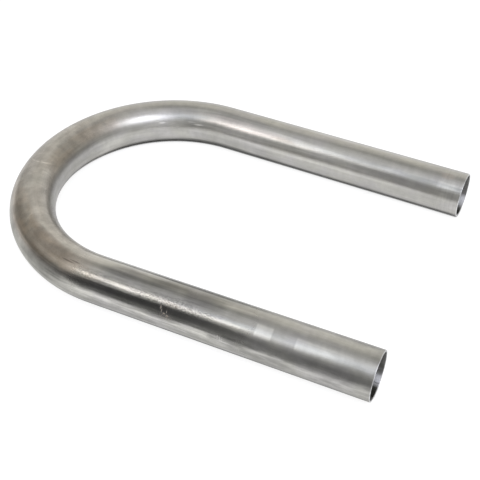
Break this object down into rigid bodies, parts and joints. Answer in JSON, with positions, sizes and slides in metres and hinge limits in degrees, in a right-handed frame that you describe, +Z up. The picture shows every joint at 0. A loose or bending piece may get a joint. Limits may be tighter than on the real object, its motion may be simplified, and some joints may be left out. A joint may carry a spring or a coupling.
{
  "type": "return bend",
  "caption": "U-shaped return bend of round thin-walled steel tube, with long straight legs and square-cut open ends, for turning a pipe run back beside itself.",
  "frame": {"origin": "on the floor under the tube, at the middle of the U's overall length and width", "axes": "+Z up as the U lies flat, +X along the legs towards their open ends, front leg at -Y"},
  "size_m": [0.4856, 0.3556, 0.0508],
  "materials": {
    "tube_steel": "satin mill finish, duller and slightly straw-coloured round the bend"
  },
  "bodies": {
    "root": {"return_bend": "tube_steel"}
  },
  "joints": []
}
